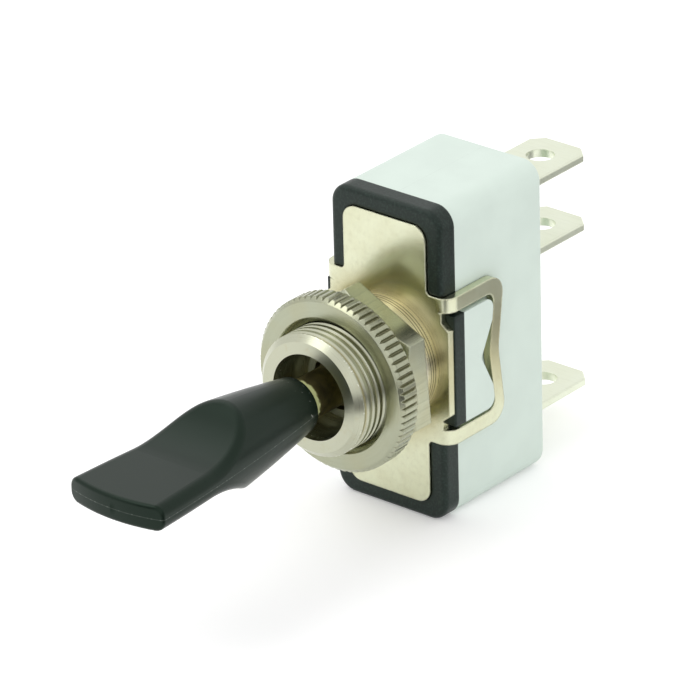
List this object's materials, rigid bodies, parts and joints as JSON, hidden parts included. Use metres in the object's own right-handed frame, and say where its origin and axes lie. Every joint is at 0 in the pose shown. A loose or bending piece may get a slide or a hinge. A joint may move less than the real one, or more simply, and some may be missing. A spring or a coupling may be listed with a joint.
{
  "type": "panel toggle switch",
  "caption": "Panel toggle switch with a flat paddle lever, threaded bushing with hex and knurled nuts, clip-on metal frame and push-on tabs.",
  "frame": {"origin": "bushing axis at the face of the frame plate that seats behind the panel", "axes": "-Y along the bushing and lever, out of the panel; +Y to the push-on tabs; +Z along the long side of the case, as it stands in the picture; X across its width"},
  "size_m": [0.017, 0.0647, 0.031],
  "materials": {
    "case_plastic": "fine matt moulded",
    "cover_plastic": "satin moulded",
    "nickel_sheet": "nickel plated",
    "nickel_turned": "nickel plated, turned",
    "nickel_nut": "nickel plated",
    "brass_lever": "turned",
    "steel_pin": "ground",
    "handle_plastic": "semi-gloss moulded",
    "insulator": "moulded",
    "plunger_plastic": "moulded",
    "spring_steel": "drawn wire",
    "contact_brass": "stamped",
    "contact_silver": "silver rivet",
    "silvered_tab": "silver plated brass"
  },
  "bodies": {
    "housing": {"case": "case_plastic", "cover": "cover_plastic", "frame": "nickel_sheet", "bushing": "nickel_turned", "upper_terminal": "silvered_tab", "common_terminal": "silvered_tab", "lower_terminal": "silvered_tab", "upper_fixed_contact": "contact_silver", "lower_fixed_contact": "contact_silver"},
    "lever_assembly": {"lever": "brass_lever", "pivot_pin": "steel_pin", "handle": "handle_plastic", "actuator": "insulator", "plunger_spring": "spring_steel"},
    "plunger": {"plunger": "plunger_plastic"},
    "rocker": {"rocker_blade": "contact_brass", "upper_moving_contact": "contact_silver", "lower_moving_contact": "contact_silver"},
    "hex_nut": {"hex_nut": "nickel_nut"},
    "knurled_nut": {"knurled_nut": "nickel_nut"}
  },
  "joints": [
    {"name": "lever_swing", "type": "hinge", "parent": "housing", "child": "lever_assembly", "pos_m": [0, -0.00496, 0], "axis": [1, 0, 0], "range_deg": [-12, 12]},
    {"name": "plunger_slide", "type": "slide", "parent": "lever_assembly", "child": "plunger", "axis": [0, 1, 0], "range_m": [-0.0008, 0], "stiffness_N_per_m": 400, "deforming": ["plunger_spring"]},
    {"name": "rocker_tip", "type": "hinge", "parent": "housing", "child": "rocker", "pos_m": [0, 0.0104, 0], "axis": [1, 0, 0], "range_deg": [-6, 6]},
    {"name": "hex_nut_turn", "type": "hinge", "parent": "housing", "child": "hex_nut", "pos_m": [0, -0.0042, 0], "axis": [0, -1, 0], "continuous": true},
    {"name": "knurled_nut_turn", "type": "hinge", "parent": "housing", "child": "knurled_nut", "pos_m": [0, -0.00685, 0], "axis": [0, -1, 0], "continuous": true}
  ],
  "couplings": [
    {"joint": "rocker_tip", "follows": "lever_swing", "ratio": -0.5}
  ]
}
